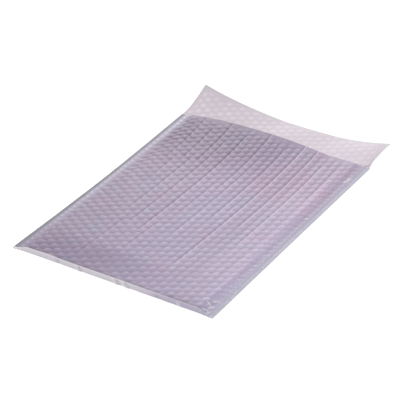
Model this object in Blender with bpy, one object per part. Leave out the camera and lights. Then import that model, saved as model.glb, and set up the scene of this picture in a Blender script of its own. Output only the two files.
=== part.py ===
"""A padded envelope, empty and unsealed, lying on its back with the flap open.

It is two sheets, each folded once along the bottom. The outer film is welded to itself down both
sides and runs on past the mouth as the flap. The bubble liner lies inside it, lines the flap, and
stops short of the welds and of the flap's far edge. The air caps push the front film up in
staggered columns, and long creases run between the columns.

X runs across the envelope, Y from the bottom fold to the flap, and Z up. The origin is on the
floor, below the middle of the whole outline, flap included.
"""
import math

import bmesh
import bpy
import numpy as np

MM = 0.001

# Sheet sizes
POUCH_WIDTH = 270 * MM
POUCH_LENGTH = 350 * MM
FLAP_LENGTH = 46 * MM
SEAL_WIDTH = 5.5 * MM
SEAL_THICKNESS = 0.8 * MM
FILM = 0.35 * MM
LINER = 1.2 * MM
LINER_AT_SEAL = 0.5 * MM
BARE_BAND = 3.5 * MM
CLEARANCE = 0.3 * MM
SEAL_ROOT = 1.2 * MM

# How far the two liner panels stand apart
POCKET_AT_SEAL = 0.4 * MM
POCKET_AT_SIDE = 0.4 * MM
POCKET_AT_CENTRE = 5.2 * MM
POCKET_AT_FOLD = 1.5 * MM
FOLD_INNER_REACH = 0.8 * MM
SHOULDER = 10 * MM
FOLD_RISE = 34 * MM
SWELL_CENTRE = -25 * MM
SWELL_REACH = 105 * MM

# Air caps and creases in the front panel
COLUMN_SPACING = 9.4 * MM
CAP_PITCH = 11.3 * MM
CAP_RISE = 0.8 * MM
CREASE_DEPTH = 0.4 * MM
MOUTH_MARGIN = 3 * MM
COLUMN_LEAN = 6.5 * MM
LEAN_ON_RIGHT = 0.3
LEAN_CHANGE = 40 * MM

# How the open flap curls up at its two far corners
CURL_LEFT = 16 * MM
CURL_RIGHT = 6.5 * MM
CURL_LEFT_START = -18 * MM
CURL_RIGHT_START = 60 * MM
FLARE_LEFT = 10 * MM
FLARE_RIGHT = 8 * MM

# Each crease: the valley between columns that it follows, counted from the middle, and the shares
# of the panel's length at which it starts and ends
CREASES = (
    (-10, 0.72, 1.00),
    (-9, 0.60, 0.74),
    (-8, 0.74, 0.94),
    (-7, 0.41, 0.74),
    (-6, 0.76, 1.00),
    (-6, 0.07, 0.30),
    (-5, 0.31, 0.92),
    (-3, 0.29, 0.93),
    (-2, 0.20, 0.34),
    (-1, 0.46, 0.65),
    (0, 0.60, 1.00),
    (1, 0.31, 0.81),
    (3, 0.40, 0.93),
    (5, 0.19, 1.00),
    (7, 0.50, 1.00),
    (9, 0.31, 0.92),
    (11, 0.71, 0.93),
)

# Mesh fineness
FOLD_STEPS = 6
FLAP_STEPS = 6
BACK_ROWS = 4
PLAIN_STEP = 13 * MM
ROWS_PER_PLAIN_ROW = 6
SHARP_ANGLE = math.radians(40)

# Places worked out from the sizes above
MOUTH = (POUCH_LENGTH - FLAP_LENGTH - max(FLARE_LEFT, FLARE_RIGHT)) / 2
BOTTOM = MOUTH - POUCH_LENGTH
SIDE = POUCH_WIDTH / 2
SEAL_EDGE = SIDE - SEAL_WIDTH
CAVITY_SIDE = SEAL_EDGE - SEAL_ROOT
LINER_SIDE = CAVITY_SIDE - CLEARANCE
ROOT_TOP = CAVITY_SIDE + FILM
LINER_BASE = FILM + CLEARANCE
FILM_DROP = CREASE_DEPTH + FILM
LINER_DROP = FILM_DROP + CLEARANCE
FOLD_REACH = LINER_BASE + LINER + FOLD_INNER_REACH
FOLD_CENTRE = BOTTOM + FOLD_REACH
HALF_PITCH = CAP_PITCH / 2
CELL = COLUMN_SPACING / 1.5


def smooth(share):
    """0 below 0, 1 above 1, and a smooth step between."""
    share = np.clip(share, 0, 1)
    return share * share * (3 - 2 * share)


def blend(low, high, share):
    return low + (high - low) * share


def inset(x):
    """0 at the side of the pocket, 1 where the padding has reached its full thickness."""
    return smooth((CAVITY_SIDE - np.abs(x)) / SHOULDER)


def liner_thickness(x):
    return blend(LINER_AT_SEAL, LINER, inset(x))


def pocket_height(x, y):
    """The space between the two liner panels."""
    swell = np.clip(1 - ((x - SWELL_CENTRE) / SWELL_REACH) ** 2, 0, 1)
    middle = blend(POCKET_AT_SIDE, POCKET_AT_CENTRE, swell)
    along = blend(POCKET_AT_FOLD, middle, smooth((y - FOLD_CENTRE) / FOLD_RISE))
    return blend(POCKET_AT_SEAL, along, inset(x))


def panel_top(x, y):
    """Height of the front film's outer face in the valleys between the air caps."""
    return LINER_BASE + 2 * liner_thickness(x) + pocket_height(x, y) + LINER_DROP


def flap_lift(x, share):
    """Height of the flap's lower face, from the mouth (share 0) to its far edge (share 1)."""
    left = np.clip((CURL_LEFT_START - x) / (CURL_LEFT_START + SIDE), 0, None)
    right = np.clip((x - CURL_RIGHT_START) / (SIDE - CURL_RIGHT_START), 0, None)
    return CURL_LEFT * left ** 1.35 * share ** 1.1 + CURL_RIGHT * right ** 1.3 * share ** 0.9


def flap_place(x, share):
    """Distance along Y: the far edge reaches further out at the two corners."""
    left = np.clip((CURL_LEFT_START - x) / (CURL_LEFT_START + SIDE), 0, None)
    right = np.clip((x - CURL_RIGHT_START) / (SIDE - CURL_RIGHT_START), 0, None)
    return MOUTH + share * (FLAP_LENGTH + FLARE_LEFT * left ** 2 + FLARE_RIGHT * right ** 2)


class Skin:
    """Collects rows of points and the strips of triangles between them."""

    def __init__(self):
        self.points = []
        self.faces = []

    def row(self, x, y, z):
        columns = np.broadcast_arrays(x, y, z)
        first = len(self.points)
        self.points += [tuple(map(float, point)) for point in zip(*columns)]
        return list(range(first, len(self.points)))

    def gap(self, one, other):
        return math.dist(self.points[one], self.points[other])

    def strip(self, one, other):
        """Triangles between two rows, always across the shorter way."""
        i = j = 0
        while i < len(one) - 1 or j < len(other) - 1:
            if j == len(other) - 1:
                forward = True
            elif i == len(one) - 1:
                forward = False
            else:
                forward = self.gap(one[i + 1], other[j]) <= self.gap(one[i], other[j + 1])
            if forward:
                face = (one[i], one[i + 1], other[j])
                i += 1
            else:
                face = (one[i], other[j + 1], other[j])
                j += 1
            if len(set(face)) == 3:
                self.faces.append(face)

    def strips(self, rows):
        for one, other in zip(rows, rows[1:]):
            self.strip(one, other)

    def to_object(self, name, material):
        mesh = bpy.data.meshes.new(name)
        shape = bmesh.new()
        points = [shape.verts.new(point) for point in self.points]
        for face in self.faces:
            shape.faces.new([points[index] for index in face])
        bmesh.ops.recalc_face_normals(shape, faces=shape.faces)
        shape.to_mesh(mesh)
        shape.free()
        mesh.shade_smooth()
        mesh.set_sharp_from_angle(angle=SHARP_ANGLE)
        mesh.materials.append(material)
        thing = bpy.data.objects.new(name, mesh)
        bpy.context.scene.collection.objects.link(thing)
        return thing


def ends(rows, index):
    return [row[index] for row in rows]


def plain_columns(side):
    """X places for a smooth surface: close together on the shoulders, wider between."""
    flat = CAVITY_SIDE - SHOULDER
    middle = np.linspace(-flat, flat, round(2 * flat / PLAIN_STEP) + 1)
    shoulder = CAVITY_SIDE - SHOULDER / 2
    return np.concatenate(([-side, -shoulder], middle, [shoulder, side]))


def cap_rows():
    """Y places of the rows of cap tops and valleys, half a pitch apart."""
    count = int((MOUTH - MOUTH_MARGIN - FOLD_CENTRE) / HALF_PITCH)
    return FOLD_CENTRE + HALF_PITCH * np.arange(1, count + 1)


def plain_rows():
    """Y places for a smooth panel: each cap row where the padding rises, fewer after it."""
    rows = cap_rows()
    rising = rows[rows < FOLD_CENTRE + FOLD_RISE]
    level = rows[len(rising)::ROWS_PER_PLAIN_ROW]
    return np.concatenate(([FOLD_CENTRE], rising, level, [MOUTH]))


def lean(x, y):
    """How far a column has shifted to the left at y: most at the mouth, less on the right."""
    share = (y - BOTTOM) / POUCH_LENGTH
    strength = blend(1, LEAN_ON_RIGHT, smooth(x / LEAN_CHANGE))
    near_side = smooth((CAVITY_SIDE - SHOULDER - np.abs(x)) / LEAN_CHANGE)
    return COLUMN_LEAN * share ** 3 * strength * near_side


def cap_row(number, y):
    """One row of the front film's outer face: cap tops, valleys and creases.

    Cap tops are every third point of a triangular grid, so six valley points stand round each."""
    side = CAVITY_SIDE - SHOULDER
    count = math.ceil(side / CELL) + 1
    place = np.arange(-count, count + 1)
    odd = number % 2
    x = (place + odd / 2) * CELL - COLUMN_SPACING / 2
    top = place % 3 == odd
    keep = np.abs(x) < side - CELL / 4
    x, top = x[keep], top[keep]
    rise = np.where(top & (y < MOUTH), CAP_RISE, 0.0)
    share = (y - BOTTOM) / POUCH_LENGTH
    for valley, start, end in CREASES:
        nearest = np.argmin(np.abs(x - valley * COLUMN_SPACING))
        if start <= share <= end and abs(x[nearest] - valley * COLUMN_SPACING) < CELL / 2:
            x[nearest] = valley * COLUMN_SPACING
            rise[nearest] = -CREASE_DEPTH
    x = x - lean(x, y)
    shoulders = np.array([side, CAVITY_SIDE - SHOULDER / 2, ROOT_TOP])
    x = np.concatenate((-shoulders[::-1], x, shoulders))
    rise = np.pad(rise, len(shoulders))
    return x, panel_top(x, y) + rise


def fold_row(x, top, base, reach, turn):
    """One row round the bottom fold, from the top (turn 90 degrees) to the base (-90)."""
    middle = (top + base) / 2
    y = FOLD_CENTRE - reach * math.cos(turn)
    return x, y, middle + (top - base) / 2 * math.sin(turn)


def fold_turns():
    return [math.pi / 2 - math.pi * step / FOLD_STEPS for step in range(1, FOLD_STEPS)]


def closed_sides(skin, upper, fold, lower):
    """Closes a folded surface along its two sides, from the middle of the fold to the mouth."""
    half = len(fold) // 2
    for index in (0, -1):
        over = ends(fold[half::-1] + upper, index)
        under = ends(fold[half:] + lower, index)
        skin.strip(over, under)


def outer_film(material):
    skin = Skin()
    rim = np.array([SEAL_EDGE, SIDE])
    seal = np.full(len(rim), SEAL_THICKNESS)

    # Front panel's outer face, from the fold to the mouth
    front = []
    for number, y in enumerate([FOLD_CENTRE, *cap_rows(), MOUTH]):
        x, z = cap_row(number, y)
        x = np.concatenate((-rim[::-1], x, rim))
        front.append(skin.row(x, y, np.concatenate((seal, z, seal))))

    # Bottom fold's outer face
    x = plain_columns(ROOT_TOP)
    top = np.concatenate((seal, panel_top(x, FOLD_CENTRE), seal))
    x = np.concatenate((-rim[::-1], x, rim))
    fold = [skin.row(*fold_row(x, top, 0, FOLD_REACH, turn)) for turn in fold_turns()]

    # Back panel's outer face, on the floor, and the flap's
    back = [skin.row(x, y, 0) for y in np.linspace(FOLD_CENTRE, MOUTH, BACK_ROWS)]
    shares = np.arange(1, FLAP_STEPS + 1) / FLAP_STEPS
    flap_outer = [skin.row(x, flap_place(x, share), flap_lift(x, share)) for share in shares]

    # Pocket that the liner lies in
    cavity = plain_columns(CAVITY_SIDE)
    height = panel_top(cavity, FOLD_CENTRE) - FILM_DROP
    ceiling = [skin.row(cavity, y, panel_top(cavity, y) - FILM_DROP) for y in plain_rows()]
    reach = FOLD_REACH - FILM
    turn_in = [skin.row(*fold_row(cavity, height, FILM, reach, turn)) for turn in fold_turns()]
    floor = [skin.row(cavity, y, FILM) for y in np.linspace(FOLD_CENTRE, MOUTH, BACK_ROWS)]

    # Flap's inner face, which starts at the ends of the two welds
    left_foot, right_foot = skin.row([-SEAL_EDGE, SEAL_EDGE], MOUTH, FILM)
    hinge = [front[-1][0], left_foot, *floor[-1], right_foot, front[-1][-1]]
    flap_inner = [skin.row(x, flap_place(x, share), flap_lift(x, share) + FILM) for share in shares]

    skin.strips(front)
    skin.strips([front[0], *fold, back[0]])
    skin.strips(back + flap_outer)
    skin.strips(ceiling)
    skin.strips([ceiling[0], *turn_in, floor[0]])
    skin.strips(floor)
    skin.strips([hinge, *flap_inner])
    skin.strip(flap_outer[-1], flap_inner[-1])
    closed_sides(skin, front, fold, back)
    closed_sides(skin, ceiling, turn_in, floor)
    for index in (0, -1):
        skin.strip(ends([back[-1], *flap_outer], index), ends([hinge, *flap_inner], index))

    # Cut edge of the front panel at the mouth
    skin.strip(front[-1], [hinge[0], left_foot, floor[-1][0], *ceiling[-1],
                           floor[-1][-1], right_foot, hinge[-1]])
    return skin.to_object("outer_film", material)


def liner_rows(skin, x, inner):
    """All rows of one face of the liner: front panel, fold, back panel, then flap."""
    thickness = liner_thickness(x)
    depth = thickness if inner else 0 * thickness
    base = LINER_BASE + depth
    drop = LINER_DROP + depth
    front = [skin.row(x, y, panel_top(x, y) - drop) for y in plain_rows()[::-1]]
    top = panel_top(x, FOLD_CENTRE) - drop
    reach = FOLD_REACH - base
    fold = [skin.row(*fold_row(x, top, base, reach, turn)) for turn in fold_turns()]
    back = [skin.row(x, y, base) for y in np.linspace(FOLD_CENTRE, MOUTH, BACK_ROWS)]
    reach_out = 1 - BARE_BAND / FLAP_LENGTH
    shares = reach_out * np.arange(1, FLAP_STEPS + 1) / FLAP_STEPS
    flap = [skin.row(x, flap_place(x, share), flap_lift(x, share) + base) for share in shares]
    return front + fold + back + flap


def bubble_liner(material):
    skin = Skin()
    x = plain_columns(LINER_SIDE)
    outer = liner_rows(skin, x, inner=False)
    inner = liner_rows(skin, x, inner=True)
    skin.strips(outer)
    skin.strips(inner)
    for end in (0, -1):
        skin.strip(outer[end], inner[end])
        skin.strip(ends(outer, end), ends(inner, end))
    return skin.to_object("bubble_liner", material)


def make_material(name, color, roughness):
    material = bpy.data.materials.new(name)
    material.use_nodes = True
    shader = material.node_tree.nodes["Principled BSDF"]
    shader.inputs["Base Color"].default_value = (*color, 1.0)
    shader.inputs["Roughness"].default_value = roughness
    shader.inputs["Metallic"].default_value = 0.0
    return material


def main():
    for thing in list(bpy.data.objects):
        bpy.data.objects.remove(thing, do_unlink=True)
    outer_film(make_material("lilac_film", (0.48, 0.42, 0.56), 0.35))
    bubble_liner(make_material("pink_liner", (0.80, 0.68, 0.76), 0.45))


main()
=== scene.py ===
"""Finishes the padded envelope: its film, its bubble liner, and the floor, lights and camera.

Each surface is a function of two parameters, worked out as whole arrays in metres in the frame of
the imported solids. The script is laid out as an add-on: the panel in the 3D view's sidebar holds the
sizes and colours and lists the steps, and main() runs them in order.
"""
import math

import bmesh
import bpy
import numpy as np
from bpy.props import FloatProperty, FloatVectorProperty, IntProperty, PointerProperty
from mathutils import Color, Matrix, Vector


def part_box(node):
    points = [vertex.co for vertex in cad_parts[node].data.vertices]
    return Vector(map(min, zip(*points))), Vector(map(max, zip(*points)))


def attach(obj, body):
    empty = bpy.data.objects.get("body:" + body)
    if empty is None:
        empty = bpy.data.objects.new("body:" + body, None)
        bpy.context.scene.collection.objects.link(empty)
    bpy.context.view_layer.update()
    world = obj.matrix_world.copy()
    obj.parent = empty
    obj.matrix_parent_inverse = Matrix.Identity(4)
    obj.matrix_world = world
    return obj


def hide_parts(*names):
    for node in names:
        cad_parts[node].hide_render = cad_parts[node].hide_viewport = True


bl_info = {
    "name": "Padded Envelope",
    "version": (1, 0, 0),
    "blender": (4, 5, 0),
    "location": "3D View > Sidebar > Envelope",
    "description": "Builds the film, the bubble liner and the studio of a padded envelope",
    "category": "Add Mesh",
}

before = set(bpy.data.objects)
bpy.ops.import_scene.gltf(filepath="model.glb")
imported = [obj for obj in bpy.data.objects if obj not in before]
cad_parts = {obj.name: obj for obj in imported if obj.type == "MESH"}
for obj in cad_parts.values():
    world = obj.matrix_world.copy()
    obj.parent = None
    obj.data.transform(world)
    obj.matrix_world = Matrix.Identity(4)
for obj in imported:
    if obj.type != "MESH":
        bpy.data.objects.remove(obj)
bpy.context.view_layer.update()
FILM_LOW, FILM_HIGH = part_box("outer_film")

MM = 0.001
SHARP_ANGLE = math.radians(60)

# Each crease: the valley between two columns that it follows, counted from the middle, the shares
# of the panel's length at which it starts and ends, and its depth as a share of the deepest
CREASES = (
    (-10, 0.70, 1.00, 0.7),
    (-9, 0.58, 0.73, 0.5),
    (-8, 0.71, 0.93, 0.8),
    (-7, 0.37, 0.73, 0.7),
    (-6, 0.71, 1.00, 1.0),
    (-6, 0.07, 0.28, 0.6),
    (-5, 0.29, 0.88, 0.7),
    (-3, 0.28, 0.93, 1.0),
    (-2, 0.16, 0.31, 0.5),
    (-1, 0.43, 0.62, 0.5),
    (0, 0.60, 1.00, 0.7),
    (1, 0.31, 0.83, 0.6),
    (2, 0.90, 0.97, 0.5),
    (3, 0.45, 0.93, 0.8),
    (4, 0.50, 0.56, 0.5),
    (5, 0.17, 1.00, 1.0),
    (7, 0.44, 1.00, 0.9),
    (9, 0.37, 0.92, 0.8),
    (11, 0.69, 0.92, 0.6),
)

# Each crinkle of bare film: its place across and along and its way across and along, all in
# millimetres, and its height as a share
CRINKLES = (
    (127, 110, 0.5, 5, 1.0),
    (125.5, 103, -0.5, 3, 0.7),
    (126.5, 12, 1.5, 2, 0.6),
    (124, -178, 2, 3, 0.8),
    (120, -186, 3, -1.5, 0.8),
    (125, -190, 1.5, 3.5, 1.0),
    (122, -197, 3.5, 1, 0.9),
    (127, -199, 1, 2, 0.8),
    (114, -181, 4, 2.5, 0.5),
    (-127, 138, 1, 2, 0.6),
)

# Each wrinkle in the bottom fold: its place across, its slant, its width, and how far it goes
# in, with its lengths in millimetres
FOLD_WRINKLES = (
    (-70, -0.6, 3.0, 0.7),
    (-43, -1.2, 1.6, -1.5),
    (-39, -1.2, 1.8, 1.3),
    (8, -1.4, 1.6, -1.5),
    (12.5, -1.4, 1.8, 1.5),
    (21, -1.6, 1.8, -1.4),
    (25, -1.6, 1.8, 1.2),
    (64, -0.8, 4.0, 0.6),
    (92, -1.0, 2.2, -0.7),
)

# The two rows of puckers beside a weld: their spacing, slant, unevenness and height
PUCKERS = (
    (8.3 * MM, 0.5, 0.35, 0.32 * MM),
    (4.1 * MM, -0.3, 0.50, 0.16 * MM),
)

# Each uneven wave over the sheets: its height, the size of its swings, and its turn in radians
WAVES = {
    "caps": (0.35 * MM, 9.0 * MM, 2.0),
    "padding": (0.30 * MM, 17.0 * MM, 0.4),
    "weld": (0.05 * MM, 2.3 * MM, 1.1),
    "shoulder": (1.2 * MM, 4.0 * MM, 0.9),
    "edge": (1.5 * MM, 7.0 * MM, 0.2),
    "fold": (0.6 * MM, 8.0 * MM, 0.0),
    "flap": (0.5 * MM, 11.0 * MM, 0.3),
    "puckers": (1.0, 15.0 * MM, 0.7),
}
# The three sines of such a wave: further turn in radians, frequency and phase
WAVE_SINES = ((0.0, 1.0, 0.0), (2.0, 1.37, 1.3), (4.0, 0.71, 4.1))

# Each region of colour: the axis that it follows, where it starts and where it is complete, in
# millimetres
REGIONS = {
    "rightwards": ("X", -110, 120),
    "left_part": ("X", 70, 20),
    "left_end": ("X", -20, -90),
    "right_part": ("X", -10, 80),
    "right_rim": ("X", 100, 118),
    "middle_from_left": ("X", -90, -30),
    "middle_from_right": ("X", 50, 30),
    "off_fold": ("Y", -210, -130),
    "mouthwards": ("Y", 0, 110),
    "ruddy_from_below": ("Y", -20, 50),
    "ruddy_from_above": ("Y", 110, 70),
    "pale_shoulder": ("Y", -200, -50),
    "crumpled_side": ("X", 106, 126),
    "less_crumpled": ("Y", -140, 20),
    "grey_fold": ("X", 20, 90),
    "fainter_dots": ("X", -90, 30),
    "flap_right": ("X", 50, 130),
    "flap_left": ("X", -50, -130),
    "inside_mouth": ("Y", 160, 148),
    "flap_corner_side": ("X", 117, 129),
    "flap_corner_end": ("Y", 191, 199),
}

# Painted light and shade: how bright the film is where each mark or region is 0, and where it is 1
MARK_SHADES = {"cap": (0.97, 1.02), "dip": (1.0, 0.92), "edge": (1.0, 0.7), "ridge": (1.0, 1.42)}
REGION_SHADES = {"rightwards": (0.77, 1.19), "off_fold": (0.89, 1.0), "right_rim": (1.0, 1.12)}

# Each noise of the finishes: its swings in a metre along x, y and z, its detail and its roughness
NOISES = {
    "clouds": ((34, 22, 34), 3, 0.5),
    "streaks": ((120, 9, 60), 2, 0.5),
    "mottle": ((130, 110, 130), 2, 0.5),
    "flecks": ((520, 380, 520), 3, 0.5),
    "wrinkles": ((420, 300, 420), 3, 0.6),
    "wear": ((200, 60, 200), 2, 0.5),
    "liner_clouds": ((30, 30, 30), 2, 0.5),
    "liner_grain": ((500, 500, 500), 3, 0.5),
}

# The camera: degrees to the right of the front, upwards and rolled, its aim, its distance from it
# and how far it sees, and its lens and sensor in millimetres
CAMERA_ANGLES = (34.36, 32.45, -2.5)
CAMERA_AIM = (-4.68 * MM, -12.17 * MM, 0)
CAMERA_DISTANCE, CAMERA_SIGHT = 2089.98 * MM, 20
CAMERA_LENS, CAMERA_SENSOR = 160.06, 36

# Each square lamp, which points at the origin: its place and size in metres, and its power in watts
LAMPS = {
    "far_left_softbox": ((-2.34, 3.46, 1.69), 1.4, 70.0),
    "front_fill": ((0.8, -4.2, 1.1), 2.0, 14.0),
}

# The floor: half its side, its depth below the envelope, and its glow for what is seen
FLOOR_REACH, FLOOR_LEVEL, FLOOR_GLOW = 4.0, -0.2 * MM, 0.72
# The world's strength as a light, and as the background that is seen
WORLD_LIGHT, WORLD_SEEN = 0.6, 1.0
WHITE = (1.0, 1.0, 1.0)


def length(name, description, millimetres):
    return FloatProperty(
        name=name, description=description, default=millimetres * MM, unit="LENGTH", precision=5
    )


def colour(name, description, default):
    return FloatVectorProperty(
        name=name, description=description, default=default, subtype="COLOR", min=0, max=1
    )


class EnvelopeSizes(bpy.types.PropertyGroup):
    """Real sizes of the envelope, in metres."""

    pouch_length: length("Pouch length", "From the bottom fold to the mouth", 350)
    seal_width: length("Weld width", "Flat weld down each side", 5.5)
    seal_root: length("Weld root", "From the weld to the space inside", 2.2)
    film: length("Film", "Thickness of the film as drawn", 0.35)
    liner: length("Liner", "Thickness of the liner as drawn", 0.8)
    liner_at_seal: length("Liner at the weld", "Thickness where the weld squeezes it", 0.25)
    clearance: length("Clearance", "Between the film and the liner", 0.25)
    bare_band: length("Bare band", "Film beyond the liner at the flap's far edge", 3.5)
    flap_margin: length("Flap margin", "Film beyond the liner at the flap's sides", 2.0)
    stack: length("Stack", "Height of both panels without the pocket", 4.1)
    stack_at_seal: length("Stack at the weld", "Height of the padding beside the weld", 2.0)
    pocket_at_side: length("Pocket at the side", "Space between the panels", 0.4)
    pocket_at_centre: length("Pocket at the centre", "Space between the panels", 5.2)
    pocket_at_fold: length("Pocket at the fold", "Space between the panels", 1.5)
    fold_reach: length("Fold reach", "How far the bottom fold bulges out", 2.65)
    fold_rise: length("Fold rise", "Length over which the padding rises", 48)
    shoulder: length("Shoulder", "Width over which the padding rises from a weld", 13)
    swell_centre: length("Swell centre", "Where the panel stands highest", -25)
    swell_reach: length("Swell reach", "From the highest place to where it ends", 105)
    column_spacing: length("Column spacing", "Between columns of air caps", 9.4)
    cap_rise: length("Cap rise", "Height of an air cap over its valley", 0.68)
    groove: length("Groove", "Half the height of a column of caps over its groove", 0.03)
    crease_depth: length("Crease depth", "Of the deepest crease", 0.6)
    crease_width: length("Crease width", "Half the width of a crease", 1.2)
    bow_centre: length("Bow centre", "Where the columns lie furthest right", 32)
    column_bow_up: length("Upper column bow", "Shift of the left columns at the mouth", 9.3)
    column_bow_down: length("Lower column bow", "Shift of the columns at the fold", 7.5)
    column_spread: FloatProperty(
        name="Column spread", description="Shift to the right for the swell's height", default=0.88
    )
    waist_left: length("Left waist", "How far the left side is drawn in", 3.2)
    waist_right: length("Right waist", "How far the right side is drawn in", 0.3)
    flap_waist_left: length("Flap's left waist", "How far its side is drawn in", 2.0)
    flap_waist_right: length("Flap's right waist", "How far its side is drawn in", 3.5)
    recess_left: length("Left recess", "How far the mouth's edge falls back", 2.5)
    recess_right: length("Right recess", "How far the mouth's edge falls back", 3.5)
    curl_left: length("Left curl", "Lift of the flap's left corner", 16)
    curl_right: length("Right curl", "Lift of the flap's right corner", 6.5)
    curl_left_start: length("Left curl's start", "Place across", -8)
    curl_right_start: length("Right curl's start", "Place across", 60)
    flare_left: length("Left flare", "Extra length of the left corner", 10)
    flare_right: length("Right flare", "Extra length of the right corner", 8)
    caps_along: IntProperty(
        name="Caps along", description="Air caps from the fold to the mouth", default=31, min=4
    )


class EnvelopeColours(bpy.types.PropertyGroup):
    """Colours of the film, the liner and the studio."""

    rose: colour("Rose lilac", "Pinkish patches of the film", (0.495, 0.372, 0.535))
    slate: colour("Slate lilac", "Bluish patches of the film", (0.45, 0.388, 0.555))
    # The welds' grey film, with painted light: dark on the left, light on the right
    weld_left: colour("Left weld", "Film with no liner behind it", (0.235, 0.23, 0.28))
    weld_right: colour("Right weld", "Film with no liner behind it", (0.55, 0.53, 0.66))
    shoulder_left: colour("Left shoulder", "Pale puckered film", (0.62, 0.58, 0.71))
    shoulder_right: colour("Right shoulder", "Pale puckered film", (0.60, 0.53, 0.68))
    crumpled: colour("Crumpled", "Bluish film by the right weld", (0.60, 0.59, 0.82))
    # Painted light over the shaded wall that falls to the right weld
    wall: colour("Wall", "Film that falls to the right weld", (0.85, 0.81, 0.95))
    # Painted highlight on crinkles
    glint: colour("Glint", "Crinkles that shine", (0.95, 0.94, 0.98))
    fold_right: colour("Fold's right end", "Bottom fold", (0.66, 0.60, 0.76))
    # Painted light: the fold's pale colour stands in for light that comes through its film
    fold: colour("Fold", "Pale bottom fold", (0.89, 0.84, 0.92))
    bare: colour("Bare film", "Film's inner face at the flap's edges", (0.78, 0.74, 0.77))
    liner: colour("Liner", "Pink inner face", (0.79, 0.69, 0.78))
    # Painted highlight on the tops of the liner's air caps
    liner_cap: colour("Liner caps", "Air caps seen through the liner", (0.90, 0.83, 0.89))
    corner: colour("Corner", "Bare grey film at the flap's right corner", (0.50, 0.49, 0.51))
    floor: colour("Floor", "Studio floor", (0.75, 0.75, 0.75))


def smooth(share):
    """0 below 0, 1 above 1, and 3s^2 - 2s^3 between."""
    share = np.clip(share, 0, 1)
    return share * share * (3 - 2 * share)


def ramp(value, start, end):
    """0 up to the start, 1 past the end, which may lie on either side, and smooth between."""
    return smooth((value - start) / (end - start))


def bell(off):
    """1 in the middle, and exp(-off^2) away from it."""
    return np.exp(-(off**2))


def blend(low, high, share):
    return low + (high - low) * share


def scatter(column, row):
    """An even spread of numbers from -1 to 1, one for each pair of whole numbers.

    It is the fraction of a greatly enlarged sine."""
    wave = np.sin(column * 12.9898 + row * 78.233) * 43758.5453
    return 2 * (wave - np.floor(wave)) - 1


def uneven(name, x, y):
    """An uneven wave of WAVES: its height times the mean of three sines in three directions."""
    height, size, turn = WAVES[name]
    total = 0
    for more, frequency, phase in WAVE_SINES:
        along = x * math.cos(turn + more) + y * math.sin(turn + more)
        total = total + np.sin(along / size * frequency + phase)
    return height * total / len(WAVE_SINES)


def fold_angles(rows, step=1):
    """Angles of the rows between the two ends of a half turn, from +90 to -90 degrees."""
    return math.pi * (0.5 - np.arange(step, rows, step) / rows)[:, None]


def surface(x, y, z):
    """A grid of points from their coordinates, each repeated where it doesn't vary."""
    return np.stack(np.broadcast_arrays(x, y, z), axis=-1)


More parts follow.
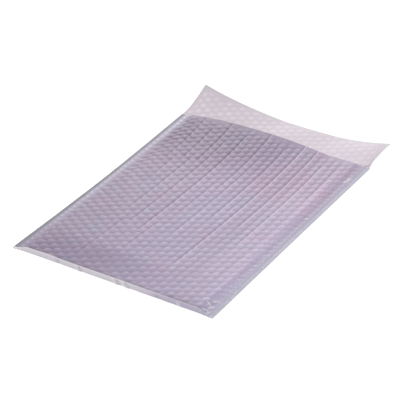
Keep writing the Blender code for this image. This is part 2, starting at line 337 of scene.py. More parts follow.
class Form:
    """The envelope's shape, as functions of places across (x) and along (y)."""

    # The film's grid: rows to a cap, steps to a column of caps, and steps over a weld or its root
    ROWS_PER_CAP, STEPS_PER_COLUMN, WELD_STEPS = 8, 10, 4
    FOLD_ROWS, BACK_ROWS, FLAP_ROWS = 12, 8, 28
    # The liner's grid: steps across, and rows on the front, round the fold, on the back and flap
    LINER_STEPS, LINER_ROWS = 256, (64, 8, 16, 48)
    # Points of a sheet's seen face, each way, to one of its hidden face
    COARSER = 4

    # An air cap: softness of the valleys, reach in column spacings, power of the dome
    CAP_SOFTNESS, CAP_REACH, CAP_POWER = 0.25 / MM**2, 2 / 3, 2.6
    # Widths over which the caps fade out at the left weld, the right weld, the mouth and the fold
    CAP_FADES = (12 * MM, 4 * MM, 18 * MM, 3 * MM)
    # The caps' height as a share of cap_rise, what the upper part and its left add, and how far one
    # cap differs from the next
    CAP_SHARE, UPPER_MORE, UPPER_LEFT_MORE, CAP_VARIES = 0.95, 0.22, 0.25, 0.22
    UPPER = (-20 * MM, 90 * MM)
    UPPER_LEFT_ACROSS, UPPER_LEFT_ALONG = (-60 * MM, -100 * MM), (-60 * MM, 50 * MM)
    # The slope of the rows of caps beyond a place at the left, in the upper part
    CLIMB, CLIMB_START, CLIMB_ALONG = 0.45, -102 * MM, (-40 * MM, 20 * MM)

    # The columns' bow: length of each half parabola, and how much weaker the upper is to the right
    BOW_UP_REACH, BOW_DOWN_REACH = 115 * MM, 210 * MM
    WEAKER_BOW, WEAKER_BOW_ACROSS = 0.45, (15 * MM, 60 * MM)
    # Width over which the columns come free of the welds, and a weld's gap as a share of the film
    FREE_WIDTH, WELD_GAP = 20 * MM, 1 / 16
    # Powers of the sines by which the pouch and the flap are drawn in, and of their fading inwards
    WAIST_POWER, FLAP_WAIST_POWER, SIDE_POWER = 1.2, 0.75, 6
    # Where the mouth's edge falls back, and the width beside the welds in which it doesn't
    RECESS_LEFT_ACROSS, RECESS_RIGHT_ACROSS = (-60 * MM, -110 * MM), (10 * MM, 100 * MM)
    RECESS_MARGIN = 8 * MM

    # A crease: share of the length over which it ends, the strengths of its dip, ridge and soft
    # dip, and their places and widths in crease widths
    CREASE_END, DIP_SHARE, RIDGE_SHARE, SOFT_SHARE = 0.04, 0.6, 0.6, 0.2
    DIP_AT, RIDGE_AT, RIDGE_WIDTH, SOFT_WIDTH = -1.0, 0.35, math.sqrt(0.6), 3.5
    # A crinkle: its height, half its width, and the width over which it grows from the weld
    CRINKLE_RISE, CRINKLE_WIDTH, CRINKLE_FADE = 0.6 * MM, 0.8 * MM, 2 * MM
    # Puckers: their reach, the widths over which they grow from the weld and from the fold, and
    # their height on the right as a share of the left's
    PUCKER_REACH, PUCKER_START, PUCKER_FADE = (5 * MM, 9 * MM), 1 * MM, 6 * MM
    PUCKER_RIGHT = 0.8

    # Marks: the span over the fold of the dark edge of painted shade, and sizes of the others
    DARK_EDGE = (6 * MM, 2 * MM)
    PALE_BAND, PALE_SOFTNESS, WELD_SOFTNESS = 0.6 * MM, 0.8 * MM, 0.3 * MM
    SHOULDER_START, SHOULDER_LEFT, SHOULDER_RIGHT = 1.5 * MM, 15 * MM, 5 * MM
    WALL_WIDTH = 0.8 * MM

    # The bottom fold: powers of the cosine and the sine, which make its half ellipse blunter
    FOLD_OUT_POWER, FOLD_UP_POWER = 0.8, 0.9
    # The flap: powers of each corner's lift across and along, the mean height of its uneven wave,
    # and the height, place and width of the bulge in its far edge
    CURL_LEFT_POWERS, CURL_RIGHT_POWERS = (1.35, 1.1), (1.3, 0.9)
    FLAP_LOFT = 0.5 * MM
    FLAP_BULGE, FLAP_BULGE_AT, FLAP_BULGE_WIDTH = 1.6 * MM, -40 * MM, 40 * MM

    # The liner: its drop under the film at the mouth's edge and inside, as shares of cap_rise, the
    # length between the two, and the length over which it widens onto the flap
    DROP_AT_EDGE, DROP_INSIDE, DROP_LENGTH, WIDENING = 0.4, 1.5, 8 * MM, 5 * MM
    # Its air caps on the flap: their height, the share of it below the liner's face, how far they
    # differ, and the width and share of the length over which they fade at the edges
    DOT_RISE, DOT_SUNK, DOT_VARIES, DOT_SIDE, DOT_END = 0.26 * MM, 0.3, 0.12, 6 * MM, 0.12

    def __init__(self, sizes):
        for name in sizes.__annotations__:
            setattr(self, name, getattr(sizes, name))
        self.side = (FILM_HIGH[0] - FILM_LOW[0]) / 2
        self.bottom = FILM_LOW[1]
        self.mouth = self.bottom + self.pouch_length
        self.flap_length = FILM_HIGH[1] - self.mouth - max(self.flare_left, self.flare_right)
        self.seal_edge = self.side - self.seal_width
        self.cavity_side = self.seal_edge - self.seal_root
        self.root_top = self.cavity_side + self.film
        self.fold_centre = self.bottom + self.fold_reach
        self.cap_pitch = (self.mouth - self.fold_centre) / self.caps_along
        self.front_rows = self.caps_along * self.ROWS_PER_CAP
        self.weld_gap = self.film * self.WELD_GAP
        self.flap_liner_side = self.side - self.flap_margin

    def share(self, y):
        """Share of the panel's length, from the bottom fold."""
        return (y - self.bottom) / self.pouch_length

    def inwards(self, x):
        """Distance from the weld's root towards the middle."""
        return self.root_top - np.abs(x)

    def inset(self, x):
        """0 at the side of the pocket, 1 where the padding has its full thickness."""
        return smooth((self.cavity_side - np.abs(x)) / self.shoulder)

    def panel_top(self, x, y):
        """Height of the front film in the valleys: both panels' stack, and the pocket between.

        The pocket is a parabola across, and grows from the fold over fold_rise."""
        swell = np.clip(1 - ((x - self.swell_centre) / self.swell_reach) ** 2, 0, 1)
        middle = blend(self.pocket_at_side, self.pocket_at_centre, swell)
        along = blend(self.pocket_at_fold, middle, smooth((y - self.fold_centre) / self.fold_rise))
        return blend(self.stack_at_seal, self.stack + along, self.inset(x))

    def lean(self, x, y):
        """Shift of the columns to the left: two half parabolas along, less where it swells.

        They meet at bow_centre, and the upper one is weaker on the right."""
        off = y - self.bow_centre
        up = self.column_bow_up * (np.clip(off, 0, None) / self.BOW_UP_REACH) ** 2
        up = up * (1 - self.WEAKER_BOW * ramp(x, *self.WEAKER_BOW_ACROSS))
        down = self.column_bow_down * (np.clip(off, None, 0) / self.BOW_DOWN_REACH) ** 2
        return up + down - self.column_spread * (self.panel_top(x, y) - self.stack)

    def drawn_in(self, x, y):
        """Places across once the sides are drawn in: a sine along the pouch and one on the flap.

        Both are raised to a power, and fade with a power of the place across."""
        pouch = np.sin(math.pi * np.clip(self.share(y), 0, 1)) ** self.WAIST_POWER
        along = np.clip((y - self.mouth) / (self.flap_length + self.flare_right), 0, 1)
        flap = np.sin(math.pi * along**self.FLAP_WAIST_POWER)
        left = np.clip(-x / self.side, 0, 1) ** self.SIDE_POWER
        right = np.clip(x / self.side, 0, 1) ** self.SIDE_POWER
        x = x + left * (self.waist_left * pouch + self.flap_waist_left * flap)
        return x - right * (self.waist_right * pouch + self.flap_waist_right * flap)

    def rows(self, x, count):
        """Rows of the front panel from its edge at the mouth, which falls back at both sides."""
        inner = smooth(self.inwards(x) / self.RECESS_MARGIN)
        left = self.recess_left * ramp(x, *self.RECESS_LEFT_ACROSS)
        right = self.recess_right * ramp(x, *self.RECESS_RIGHT_ACROSS)
        edge = self.mouth - (left + right) * inner
        share = np.linspace(0, 1, count + 1)[:, None]
        return edge + (self.fold_centre - edge) * share

    def caps(self, x, y):
        """Air caps, 0 in the valleys to 1 on the tops, and a number of each cap's own.

        A cap is 1 - (distance to its centre / reach)^CAP_POWER. The distance is a soft minimum
        over the four nearest centres of two staggered sets of columns, which rounds the valleys."""
        column = x / self.column_spacing
        total, nearest, own = 0, np.inf, 0
        for odd in (0, 1):
            centre = 2 * np.round((column - odd) / 2) + odd
            row = (y - self.fold_centre) / self.cap_pitch - odd / 2
            line = np.round(row)
            for step in (0, np.where(row > line, 1, -1)):
                across = (column - centre) * self.column_spacing
                along = (row - line - step) * self.cap_pitch
                square = across**2 + along**2
                total = total + np.exp(-self.CAP_SOFTNESS * square)
                number = scatter(centre, line + step + odd / 2)
                own = np.where(square < nearest, number, own)
                nearest = np.minimum(square, nearest)
        reach = self.column_spacing * self.CAP_REACH
        distance = np.sqrt(np.clip(-np.log(total) / self.CAP_SOFTNESS, 0, None))
        return np.clip(1 - (distance / reach) ** self.CAP_POWER, 0, 1), own

    def cap_strength(self, x, y):
        """How far the caps have faded at the panel's edges, 0 to 1, and how high they stand."""
        left, right, mouth, fold = self.CAP_FADES
        fade = smooth(self.inwards(x) / np.where(x < 0, left, right))
        fade = fade * smooth((self.mouth - y) / mouth) * smooth((y - self.fold_centre) / fold)
        upper_left = ramp(x, *self.UPPER_LEFT_ACROSS) * ramp(y, *self.UPPER_LEFT_ALONG)
        height = self.CAP_SHARE + self.UPPER_MORE * ramp(y, *self.UPPER)
        return fade, height + self.UPPER_LEFT_MORE * upper_left

    def creases(self, x, y):
        """The creases' dips and the ridges on their right, 0 to 1, and a soft dip round both.

        All three are bells across a valley between two columns, which end smoothly along it."""
        share = self.share(y)
        dip, ridge, soft = 0, 0, 0
        for valley, start, end, depth in CREASES:
            off = (x - (valley + 0.5) * self.column_spacing) / self.crease_width
            starts = smooth((share - start) / self.CREASE_END + 0.5)
            strength = depth * starts * smooth((end - share) / self.CREASE_END + 0.5)
            dip = dip + strength * bell(off - self.DIP_AT)
            ridge = ridge + strength * bell((off - self.RIDGE_AT) / self.RIDGE_WIDTH)
            soft = soft + strength * bell(off / self.SOFT_WIDTH)
        return dip, ridge, soft

    def crinkles(self, x, y):
        """Short sharp ridges: each a bell across its own line, and a blunter bell along it."""
        total = 0
        for *line, height in CRINKLES:
            place_x, place_y, way_x, way_y = (value * MM for value in line)
            half = math.hypot(way_x, way_y)
            along = ((x - place_x) * way_x + (y - place_y) * way_y) / half**2
            off = ((x - place_x) * way_y - (y - place_y) * way_x) / half
            total = total + height * bell(along**2) * bell(off / self.CRINKLE_WIDTH)
        return total

    def puckers(self, x, y):
        """Squeezed ridges beside the welds: two sines along the weld that die out inwards.

        An uneven wave shifts them along and changes how far they reach."""
        off = np.clip(self.inwards(x), 0, None)
        wave = uneven("puckers", x, y)
        total = 0
        for spacing, slant, shift, height in PUCKERS:
            turns = (y + slant * off) / spacing + shift * wave
            total = total + height * np.sin(2 * math.pi * turns)
        total = total * np.exp(-off / blend(*self.PUCKER_REACH, smooth((wave + 1) / 2)))
        return total * smooth(off / self.PUCKER_START) * np.where(x < 0, 1, self.PUCKER_RIGHT)

    def front(self, across, y):
        """The front film's outer face, and the marks that its finish reads.

        Its height is the padding's top, with the caps, the grooves between their columns, the
        creases, an uneven wave, the puckers and the crinkles added. From the padding's edge it
        falls smoothly to the flat weld. The columns shift with the film, except by the welds."""
        lean = self.lean(across, y)
        free = smooth(self.inwards(across) / self.FREE_WIDTH)
        x = across - free * lean
        lattice = across + (1 - free) * lean
        climb = self.CLIMB * np.clip(self.CLIMB_START - x, 0, None) * ramp(y, *self.CLIMB_ALONG)
        base = self.panel_top(x, y)
        cap, own = self.caps(lattice + uneven("caps", x, y), y + climb)
        dip, ridge, soft = self.creases(lattice, y)
        crinkle = self.crinkles(x, y)
        fade, height = self.cap_strength(x, y)
        fullness = fade * (1 + self.CAP_VARIES * own)
        padding = self.inset(x)
        z = base + self.cap_rise * (cap - 0.5) * fullness * height
        column = np.cos(2 * math.pi * lattice / self.column_spacing)
        z = z + self.groove * column * fade * height
        crease = self.DIP_SHARE * dip - self.RIDGE_SHARE * ridge + self.SOFT_SHARE * soft
        z = z - self.crease_depth * crease * padding
        z = z + uneven("padding", x, y) * padding
        z = z + self.puckers(x, y) * smooth((y - self.fold_centre) / self.PUCKER_FADE)
        z = z + self.CRINKLE_RISE * crinkle * smooth(self.inwards(x) / self.CRINKLE_FADE)
        rise = ramp(np.abs(x), self.seal_edge, self.root_top)
        flat = 2 * self.film + self.weld_gap + uneven("weld", x, y)
        z = np.where(self.inwards(x) > 0, z, blend(flat, base, rise))
        # Besides the shape, cap, dip and ridge carry painted shade in the caps' valleys and the
        # creases' dips and a painted highlight on the ridges, and glint carries painted highlights on
        # the crinkles
        marks = {"cap": cap * fullness, "dip": dip, "ridge": ridge, "glint": crinkle}
        return x, z, {**marks, **self.edge_marks(x, y)}

    def edge_marks(self, x, y):
        """Marks, 0 to 1, along the panel's edges: at the fold, on the welds and beside them."""
        over_fold = y - self.fold_centre
        pale = over_fold - self.PALE_BAND - uneven("fold", x, 0)
        away = self.inwards(x) + uneven("shoulder", x, y) - self.SHOULDER_START
        middle = (self.root_top + self.seal_edge) / 2
        return {
            # Painted shade: the dark edge where the panel curves down over the fold
            "edge": ramp(over_fold + uneven("edge", x, y), *self.DARK_EDGE),
            "fold": ramp(pale, self.PALE_SOFTNESS, 0),
            "weld": ramp(np.abs(x) - self.seal_edge, -self.WELD_SOFTNESS, self.WELD_SOFTNESS),
            "shoulder": ramp(away, np.where(x < 0, self.SHOULDER_LEFT, self.SHOULDER_RIGHT), 0),
            # Painted light over the wall from the right weld's root, which lies in shade
            "wall": np.where(x > 0, bell((x - middle) / self.WALL_WIDTH), 0),
        }

    def flap(self, x, share):
        """The flap's lower face: it lies flat in the middle, and both far corners curl up.

        Left and right run from 0 at a curl's start to 1 at its side. The corners reach further
        with their squares, and lift with powers of them and of the share."""
        left = np.clip((self.curl_left_start - x) / (self.curl_left_start + self.side), 0, None)
        right = np.clip((x - self.curl_right_start) / (self.side - self.curl_right_start), 0, None)
        reach = self.flap_length + self.flare_left * left**2 + self.flare_right * right**2
        reach = reach + self.FLAP_BULGE * bell((x - self.FLAP_BULGE_AT) / self.FLAP_BULGE_WIDTH)
        lift = (self.FLAP_LOFT + uneven("flap", x, share * reach)) * share
        across, along = self.CURL_LEFT_POWERS
        lift = lift + self.curl_left * left**across * share**along
        across, along = self.CURL_RIGHT_POWERS
        lift = lift + self.curl_right * right**across * share**along
        return self.mouth + share * reach, lift

    def columns(self):
        """Places across: even steps that meet the valleys, and closer ones over the welds."""
        step = self.column_spacing / self.STEPS_PER_COLUMN
        least_gap = 0.4 * step
        count = int((self.root_top - least_gap) / step)
        count -= 1 - count % 2
        inner = step * np.arange(-count, count + 1)
        weld = np.linspace(self.side, self.seal_edge, self.WELD_STEPS + 1)[:-1]
        root = np.linspace(self.seal_edge, self.root_top, self.WELD_STEPS + 1)
        rim = np.concatenate((weld, root))
        return np.concatenate((-rim, inner, rim[::-1]))

    def fold(self, x, top):
        """Rows round the bottom fold, and how far its wrinkles take them in.

        Half a blunt ellipse from the front panel's last row down to the floor. Each wrinkle is a
        bell across a slanting line, in or out of the fold."""
        turn = fold_angles(self.FOLD_ROWS)
        rise = np.sign(np.sin(turn)) * np.abs(np.sin(turn)) ** self.FOLD_UP_POWER
        y = self.fold_centre - self.fold_reach * np.cos(turn) ** self.FOLD_OUT_POWER
        z = top / 2 + top / 2 * rise
        crumple = 0
        for place, slant, width, depth in FOLD_WRINKLES:
            off = (x - slant * (z - top / 2)) / MM - place
            crumple = crumple + depth * MM * bell(off / width)
        crumple = crumple * np.cos(turn) * self.inset(x)
        return y + crumple, z, crumple

    def film_outside(self):
        """The film's outer face, row by row: front panel, bottom fold, back panel, flap."""
        across = self.columns()[None, :]
        front_y = self.rows(across, self.front_rows)
        x, z, marks = self.front(across, front_y)
        fold_y, fold_z, crumple = self.fold(x[-1:], z[-1:])
        back_y = np.linspace(self.fold_centre, self.mouth, self.BACK_ROWS + 1)[:, None]
        share = (np.arange(1, self.FLAP_ROWS + 1) / self.FLAP_ROWS)[:, None]
        points = np.concatenate((
            surface(x, front_y, z),
            surface(x[-1:], fold_y, fold_z),
            surface(across, back_y, 0.0),
            surface(across, *self.flap(across, share)),
        ))
        points[..., 0] = self.drawn_in(points[..., 0], points[..., 1])
        full = {name: np.zeros(points.shape[:2]) for name in (*marks, "bare", "dent")}
        front = len(front_y)
        fold = slice(front, front + len(crumple))
        for name, mark in marks.items():
            full[name][:front] = mark
        full["weld"][front:] = marks["weld"][-1]
        full["fold"][fold] = 1
        # The fold's wrinkles: a painted highlight where they bulge out, painted shade where they go
        # in
        full["glint"][fold] = np.clip(-crumple / MM, 0, 1)
        full["dent"][fold] = np.clip(crumple / MM, 0, 1)
        return points, full

    def film_inside(self, outside):
        """The film's inner face: the outer one moved in by the film, on a coarser grid.

        Over the front it hangs under the lowest of the points round each place."""
        step = self.COARSER
        points = outside[::step, ::step].copy()
        y, z = points[..., 1], points[..., 2]
        padded = np.pad(outside[: self.front_rows + 1, :, 2], step, mode="edge")
        window = (2 * step + 1, 2 * step + 1)
        lowest = np.lib.stride_tricks.sliding_window_view(padded, window).min(axis=(2, 3))
        front = self.front_rows // step + 1
        z[:front] = lowest[::step, ::step] - self.film
        turn = fold_angles(self.FOLD_ROWS, step)
        back = front + len(turn)
        high, low = z[front - 1], self.film
        z[front:back] = (high + low) / 2 + (high - low) / 2 * np.sin(turn)
        y[front:back] = self.fold_centre - (self.fold_reach - 2 * self.film) * np.cos(turn)
        z[back:] += self.film
        return points

    def liner_face(self, inside):
        """One face of the liner, row by row: front panel, bottom fold, back panel, flap.

        The inside face is the seen one. The outside face keeps the clearance from the film."""
        step = 1 if inside else self.COARSER
        side = self.cavity_side - self.clearance
        x = np.linspace(-side, side, self.LINER_STEPS // step + 1)[None, :]
        depth = blend(self.liner_at_seal, self.liner, self.inset(x)) if inside else 0 * x
        base = self.film + self.clearance + depth
        front_rows, fold_rows, back_rows, flap_rows = self.LINER_ROWS
        front_y = self.rows(x, front_rows // step)
        off_mouth = smooth((self.mouth - front_y) / self.DROP_LENGTH)
        drop = blend(self.DROP_AT_EDGE, self.DROP_INSIDE, off_mouth)
        front_z = self.panel_top(x, front_y) - base - self.cap_rise * drop * self.inset(x)
        turn = fold_angles(fold_rows, step)
        fold_y = self.fold_centre - (self.fold_reach - base) * np.cos(turn)
        fold_z = (front_z[-1] + base) / 2 + (front_z[-1] - base) / 2 * np.sin(turn)
        back_y = np.linspace(self.fold_centre, self.mouth, back_rows // step + 1)[:, None]
        lined = 1 - self.bare_band / self.flap_length
        share = lined * (np.arange(step, flap_rows + 1, step) / flap_rows)[:, None]
        flap_y, flap_z = self.flap(x, share)
        cap = np.zeros_like(flap_y)
        if inside:
            cap, own = self.caps(x, flap_y)
            edge = smooth((side - np.abs(x)) / self.DOT_SIDE)
            edge = edge * smooth((lined - share) / self.DOT_END)
            cap = cap * edge * (1 + self.DOT_VARIES * own)
            flap_z = flap_z + self.DOT_RISE * (cap - self.DOT_SUNK * edge)
        parts = ((front_y, front_z), (fold_y, fold_z), (back_y, base), (flap_y, flap_z + base))
        points = np.concatenate([surface(x, *part) for part in parts])
        on_flap = smooth((points[..., 1] - self.mouth) / self.WIDENING)
        wider = blend(1, self.flap_liner_side / side, on_flap)
        points[..., 0] = self.drawn_in(points[..., 0] * wider, points[..., 1])
        mark = np.zeros(points.shape[:2])
        mark[-len(share) :] = cap
        return points, {"cap": mark}


def grid_faces(index):
    """Quads between the points of a grid of indices."""
    corners = (index[:-1, :-1], index[:-1, 1:], index[1:, 1:], index[1:, :-1])
    return np.stack(corners, axis=2).reshape(-1, 4)


def rim_faces(fine, coarse):
    """Faces between a fine edge and a coarse one, with a point at every few of its points."""
    step = (len(fine) - 1) // (len(coarse) - 1)
    spans = fine[:-1].reshape(-1, step)
    return np.column_stack((spans, fine[step::step], coarse[1:], coarse[:-1]))


def closed_sheet(name, seen, hidden, marks, finish):
    """A thin closed body from two grids, one on each face, joined along all four edges.

    The marks cover the seen face. The hidden one has none, and is bare film."""
    front = np.arange(seen[..., 0].size).reshape(seen.shape[:2])
    back = front.size + np.arange(hidden[..., 0].size).reshape(hidden.shape[:2])
    faces = grid_faces(front).tolist() + grid_faces(back)[:, ::-1].tolist()
    for edge in ((0, slice(None)), (-1, slice(None)), (slice(None), 0), (slice(None), -1)):
        faces += rim_faces(front[edge], back[edge]).tolist()
    mesh = bpy.data.meshes.new(name)
    points = np.concatenate((seen.reshape(-1, 3), hidden.reshape(-1, 3)))
    mesh.from_pydata(points.tolist(), [], faces)
    shape = bmesh.new()
    shape.from_mesh(mesh)
    bmesh.ops.recalc_face_normals(shape, faces=shape.faces)
    shape.to_mesh(mesh)
    shape.free()
    for mark, values in marks.items():
        behind = np.full(back.size, 1.0 if mark == "bare" else 0.0)
        data = mesh.attributes.new(mark, "FLOAT", "POINT")
        data.data.foreach_set("value", np.concatenate((values.ravel(), behind)))
    mesh.shade_smooth()
    mesh.set_sharp_from_angle(angle=SHARP_ANGLE)
    piece = bpy.data.objects.new(name, mesh)
    bpy.context.scene.collection.objects.link(piece)
    mesh.materials.append(finish)
    return piece


class Value:
    """A number that varies over a surface: arithmetic on it adds Math nodes."""

    def __init__(self, finish, socket):
        self.finish = finish
        self.socket = socket

    def __add__(self, other):
        return self.finish.maths("ADD", self, other)

    def __sub__(self, other):
        return self.finish.maths("SUBTRACT", self, other)

    def __rsub__(self, other):
        return self.finish.maths("SUBTRACT", other, self)

    def __mul__(self, other):
        return self.finish.maths("MULTIPLY", self, other)

    def __pow__(self, other):
        return self.finish.maths("POWER", self, other)

    __radd__ = __add__
    __rmul__ = __mul__

    def between(self, low, high):
        """Low where this is 0, and high where it is 1."""
        return self * (high - low) + low


class Finish:
    """The nodes of one material, or of the world."""

    def __init__(self, name, world=False):
        self.material = (bpy.data.worlds if world else bpy.data.materials).new(name)
        self.material.use_nodes = True
        self.tree = self.material.node_tree
        self.tree.nodes.clear()

    def node(self, kind, values=None, **settings):
        """Adds a node: its settings first, then its sockets' values or links."""
        node = self.tree.nodes.new(kind)
        for key, setting in settings.items():
            setattr(node, key, setting)
        for key, value in (values or {}).items():
            value = getattr(value, "socket", value)
            if isinstance(value, bpy.types.NodeSocket):
                self.tree.links.new(value, node.inputs[key])
            elif isinstance(value, (tuple, Color)) and len(node.inputs[key].default_value) == 4:
                node.inputs[key].default_value = (*value, 1)
            else:
                node.inputs[key].default_value = value
        return node

    def maths(self, operation, one, other=0.0, clamp=False):
        node = self.node("ShaderNodeMath", {0: one, 1: other}, operation=operation, use_clamp=clamp)
        return Value(self, node.outputs[0])

    def clamped(self, value):
        return self.maths("ADD", value, 0.0, clamp=True)

    def mark(self, name):
        """A number that the mesh carries at its points."""
        node = self.node("ShaderNodeAttribute", attribute_name=name, attribute_type="GEOMETRY")
        return Value(self, node.outputs["Fac"])

    def place(self):
        return self.node("ShaderNodeTexCoord").outputs["Object"]

    def axis(self, letter):
        """The place along X, Y or Z, in metres."""
        node = self.node("ShaderNodeSeparateXYZ", {0: self.place()})
        return Value(self, node.outputs[letter])

    def noise(self, name):
        """Noise from 0 to 1 in object space, by its name in NOISES."""
        swings, detail, roughness = NOISES[name]
        stretched = self.node("ShaderNodeMapping", {"Vector": self.place(), "Scale": swings})
        values = {"Vector": stretched.outputs[0], "Scale": 1.0, "Detail": detail}
        node = self.node("ShaderNodeTexNoise", {**values, "Roughness": roughness})
        return Value(self, node.outputs["Fac"])

    def contrast(self, value, low, high):
        """0 below low, 1 above high, and a smooth step between."""
        values = {"Value": value, "From Min": low, "From Max": high}
        node = self.node("ShaderNodeMapRange", values, interpolation_type="SMOOTHSTEP")
        return Value(self, node.outputs["Result"])

    def region(self, name):
        """0 up to where a region of REGIONS starts, and 1 from where it is complete."""
        letter, start, end = REGIONS[name]
        share = self.contrast(self.axis(letter), min(start, end) * MM, max(start, end) * MM)
        return share if start < end else 1 - share

    def mix(self, factor, one, other, kind="MIX"):
        values = {0: factor, 6: one, 7: other}
        return self.node("ShaderNodeMix", values, data_type="RGBA", blend_type=kind).outputs[2]

    def scaled(self, tint, factor):
        """A colour times a number."""
        values = {0: tint, "Scale": factor}
        return self.node("ShaderNodeVectorMath", values, operation="SCALE").outputs[0]

    def bump(self, height, distance, strength):
        values = {"Height": height, "Distance": distance, "Strength": strength}
        return self.node("ShaderNodeBump", values).outputs[0]

    def done(self, shader):
        self.node("ShaderNodeOutputMaterial", {"Surface": shader})
        return self.material

    def plainly_seen(self):
        """1 for what the camera sees straight, in gloss or through glass."""
        path = self.node("ShaderNodeLightPath")
        kinds = ("Is Camera Ray", "Is Glossy Ray", "Is Transmission Ray")
        straight, gloss, glass = (Value(self, path.outputs[kind]) for kind in kinds)
        return self.clamped(straight + gloss + glass)

    def plastic(self, tint, roughness, normal, coat):
        values = {
            "Base Color": tint,
            "Roughness": roughness,
            "Normal": normal,
            "Coat Weight": coat,
            "Coat Roughness": 0.3,
            "IOR": 1.48,
        }
        return self.done(self.node("ShaderNodeBsdfPrincipled", values).outputs[0])


def film_patches(finish, colours, streaks, mottle):
    """Rose and slate patches: more rose in a band across the middle, more slate rightwards."""
    ruddy = finish.region("ruddy_from_below") * finish.region("ruddy_from_above")
    cloudy = 0.6 * finish.noise("clouds") + 0.1 * streaks + 0.3 * mottle
    slate = cloudy + 0.09 * finish.region("rightwards")
    slate = slate - 0.05 * finish.region("mouthwards") - 0.13 * ruddy
    least, most = 0.36, 0.66
    return finish.mix(finish.contrast(slate, least, most), colours.rose, colours.slate)


def film_painted_shade(finish, mottle):
    """How bright the film is, in painted light and shade: darker towards the left, the mouth and both
    ends of the fold.
    """
    mark, region = finish.mark, finish.region
    middle = region("middle_from_left") * region("middle_from_right")
    at_mouth = region("rightwards").between(0.33, 0.09) + 0.11 * middle
    x = finish.axis("X")
    outer = finish.contrast(x * x, (50 * MM) ** 2, (100 * MM) ** 2)
    at_ends = 0.14 * outer * (1 - region("off_fold"))
    shade = (1 - region("mouthwards") * at_mouth) * (1 - at_ends)
    for source, shades in ((mark, MARK_SHADES), (region, REGION_SHADES)):
        for name, ends in shades.items():
            shade = shade * source(name).between(*ends)
    return shade * mottle.between(0.95, 1.05)


def film_finish(colours):
    """Pearly lilac film: cloudy rose and slate patches, grey welds, a pale bottom fold, with painted
    light and shade and painted highlights.
    """
    finish = Finish("pearly_film")
    mark, region = finish.mark, finish.region
    streaks, mottle = finish.noise("streaks"), finish.noise("mottle")
    rightwards, mouthwards = region("rightwards"), region("mouthwards")
    off_fold = region("off_fold")
    tint = film_patches(finish, colours, streaks, mottle)
    # Painted light and shade scale the film's patches
    tint = finish.scaled(tint, film_painted_shade(finish, mottle))

    violet_cast, yellow_cast = (0.97, 0.93, 1.01), (1.0, 1.0, 0.95)
    violet = mouthwards * region("left_part") + (1 - off_fold) * region("left_end")
    tint = finish.mix(finish.clamped(violet), tint, violet_cast, "MULTIPLY")
    tint = finish.mix(region("right_part") * off_fold, tint, yellow_cast, "MULTIPLY")

    pale = finish.mix(rightwards, colours.shoulder_left, colours.shoulder_right)
    paleness = region("pale_shoulder").between(0.34, 0.76) + 0.12 * mouthwards
    crumpled = region("crumpled_side") * region("less_crumpled").between(1.0, 0.15)
    # The welds' grey film, with painted light that makes the left one dark and the right one light
    weld = finish.mix(rightwards, colours.weld_left, colours.weld_right)
    fold = finish.mix(region("grey_fold"), colours.fold, colours.fold_right)
    # Painted sparkle: flecks of glint on the crumpled film by the right weld
    flecks = crumpled * finish.contrast(finish.noise("flecks"), 0.60, 0.68)
    layers = (
        (mark("shoulder") * paleness, pale),
        (0.35 * crumpled, colours.crumpled),
        (mark("weld"), finish.scaled(weld, streaks.between(0.85, 1.15))),
        # Painted light on the shaded wall by the right weld
        (0.7 * mark("wall"), colours.wall),
        # Painted light on the pale fold, and painted shade in its wrinkles' dents
        (mark("fold"), finish.scaled(fold, mark("dent").between(1.0, 0.7))),
        # Painted highlights: glints on the crinkles and the fold's wrinkles, and the sparkle flecks
        (finish.clamped(1.3 * mark("glint") + 0.7 * flecks), colours.glint),
        (mark("bare"), colours.bare),
    )
    for share, layer in layers:
        tint = finish.mix(share, tint, layer)
    roughness = finish.clamped(finish.noise("wear").between(0.48, 0.64))
    normal = finish.bump(finish.noise("wrinkles"), distance=0.25 * MM, strength=0.5)
    return finish.plastic(tint, roughness, normal, coat=0.05)


def liner_finish(colours):
    """Pale pink liner film, with painted highlights as faint lighter spots on its air caps, and
    painted light inside the mouth and at the flap's sides.
    """
    finish = Finish("pink_liner_film")
    region, clouds = finish.region, finish.noise("liner_clouds")
    sharpness = 4
    # Painted highlights: lighter spots on the caps' tops, fainter rightwards
    dot_highlights = finish.mark("cap") ** sharpness * region("fainter_dots").between(0.8, 0.4)
    tint = finish.mix(finish.clamped(dot_highlights), colours.liner, colours.liner_cap)
    # Painted light: the liner lighter inside the mouth and towards both sides of the flap, over a
    # random cloudy tone
    shade = clouds.between(0.92, 1.04) + 0.06 * region("inside_mouth")
    shade = shade + 0.09 * region("flap_right") + 0.08 * region("flap_left")
    tint = finish.scaled(tint, shade)
    corner = region("flap_corner_side") * region("flap_corner_end")
    tint = finish.mix(0.8 * corner, tint, colours.corner)
    normal = finish.bump(finish.noise("liner_grain"), distance=0.15 * MM, strength=0.4)
    return finish.plastic(tint, finish.clamped(clouds.between(0.52, 0.62)), normal, coat=0.04)


class ENVELOPE_OT_outer_film(bpy.types.Operator):
    """Builds the folded and welded outer film with its air caps, creases and curled flap"""

    bl_idname = "envelope.outer_film"
    bl_label = "Outer Film"

    def execute(self, context):
        form = Form(context.scene.envelope_sizes)
        outside, marks = form.film_outside()
        inside = form.film_inside(outside)
        finish = film_finish(context.scene.envelope_colours)
        piece = closed_sheet("film_envelope", outside, inside, marks, finish)
        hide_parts("outer_film")
        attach(piece, "root")
        return {"FINISHED"}


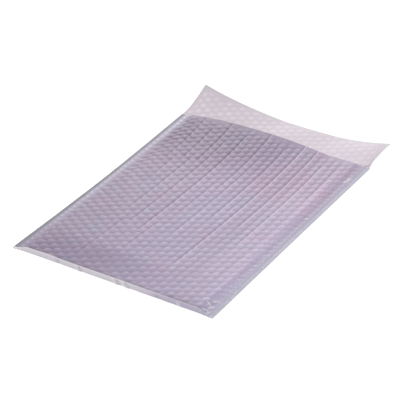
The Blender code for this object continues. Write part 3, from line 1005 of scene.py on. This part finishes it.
class ENVELOPE_OT_bubble_liner(bpy.types.Operator):
    """Builds the folded bubble liner, which shows on the flap and at the mouth"""

    bl_idname = "envelope.bubble_liner"
    bl_label = "Bubble Liner"

    def execute(self, context):
        form = Form(context.scene.envelope_sizes)
        inside, marks = form.liner_face(inside=True)
        outside, _ = form.liner_face(inside=False)
        finish = liner_finish(context.scene.envelope_colours)
        piece = closed_sheet("bubble_lining", inside, outside, marks, finish)
        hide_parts("bubble_liner")
        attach(piece, "root")
        return {"FINISHED"}


def add_lamp(name, place, size, power):
    lamp = bpy.data.lights.new(name, "AREA")
    lamp.shape = "SQUARE"
    lamp.size = size
    lamp.energy = power
    thing = bpy.data.objects.new(name, lamp)
    thing.location = place
    thing.rotation_euler = Vector(place).to_track_quat("Z", "Y").to_euler()
    bpy.context.scene.collection.objects.link(thing)


class ENVELOPE_OT_stage(bpy.types.Operator):
    """Adds the white floor, the soft light from the far left and the camera"""

    bl_idname = "envelope.stage"
    bl_label = "Studio"

    def execute(self, context):
        scene = context.scene
        scene.view_settings.view_transform = "Standard"
        self.add_floor(scene)
        self.add_light(scene)
        self.add_camera(scene)
        return {"FINISHED"}

    def add_floor(self, scene):
        mesh = bpy.data.meshes.new("studio_floor")
        ways = ((-1, -1), (1, -1), (1, 1), (-1, 1))
        corners = [(FLOOR_REACH * one, FLOOR_REACH * other, FLOOR_LEVEL) for one, other in ways]
        mesh.from_pydata(corners, [], [(0, 1, 2, 3)])
        floor = bpy.data.objects.new("studio_floor", mesh)
        scene.collection.objects.link(floor)
        finish = Finish("studio_white")
        matt = finish.node("ShaderNodeBsdfDiffuse", {"Color": scene.envelope_colours.floor})
        glow = finish.node("ShaderNodeEmission", {"Color": WHITE, "Strength": FLOOR_GLOW})
        both = finish.node("ShaderNodeAddShader", {0: matt.outputs[0], 1: glow.outputs[0]})
        values = {0: finish.plainly_seen(), 1: matt.outputs[0], 2: both.outputs[0]}
        mesh.materials.append(finish.done(finish.node("ShaderNodeMixShader", values).outputs[0]))

    def add_light(self, scene):
        sky = Finish("studio_world", world=True)
        soft, white = (
            sky.node("ShaderNodeBackground", {"Color": WHITE, "Strength": strength})
            for strength in (WORLD_LIGHT, WORLD_SEEN)
        )
        values = {0: sky.plainly_seen(), 1: soft.outputs[0], 2: white.outputs[0]}
        both = sky.node("ShaderNodeMixShader", values)
        sky.node("ShaderNodeOutputWorld", {"Surface": both.outputs[0]})
        scene.world = sky.material
        for name, (place, size, power) in LAMPS.items():
            add_lamp(name, place, size, power)

    def add_camera(self, scene):
        data = bpy.data.cameras.new("photo_camera")
        data.sensor_width = CAMERA_SENSOR
        data.lens = CAMERA_LENS
        data.clip_end = CAMERA_SIGHT
        camera = bpy.data.objects.new("photo_camera", data)
        azimuth, elevation, roll = (math.radians(angle) for angle in CAMERA_ANGLES)
        turns = ((azimuth, "Z"), (math.pi / 2 - elevation, "X"), (roll, "Z"))
        place = Matrix.Translation(CAMERA_AIM)
        for angle, axis in turns:
            place = place @ Matrix.Rotation(angle, 4, axis)
        camera.matrix_world = place @ Matrix.Translation((0, 0, CAMERA_DISTANCE))
        scene.collection.objects.link(camera)
        scene.camera = camera


class ENVELOPE_PT_panel(bpy.types.Panel):
    """Sizes, colours and steps of the padded envelope"""

    bl_idname = "ENVELOPE_PT_panel"
    bl_label = "Padded Envelope"
    bl_space_type = "VIEW_3D"
    bl_region_type = "UI"
    bl_category = "Envelope"

    def draw(self, context):
        for group in (context.scene.envelope_sizes, context.scene.envelope_colours):
            column = self.layout.column(align=True)
            for name in group.__annotations__:
                column.prop(group, name)
        for step in STEPS:
            self.layout.operator(step.bl_idname)


STEPS = (ENVELOPE_OT_outer_film, ENVELOPE_OT_bubble_liner, ENVELOPE_OT_stage)
CLASSES = (EnvelopeSizes, EnvelopeColours, *STEPS, ENVELOPE_PT_panel)


def register():
    for part in CLASSES:
        bpy.utils.register_class(part)
    bpy.types.Scene.envelope_sizes = PointerProperty(type=EnvelopeSizes)
    bpy.types.Scene.envelope_colours = PointerProperty(type=EnvelopeColours)


def unregister():
    del bpy.types.Scene.envelope_colours
    del bpy.types.Scene.envelope_sizes
    for part in reversed(CLASSES):
        bpy.utils.unregister_class(part)


def main():
    register()
    bpy.ops.envelope.outer_film()
    bpy.ops.envelope.bubble_liner()
    bpy.ops.envelope.stage()


if __name__ == "__main__":
    main()
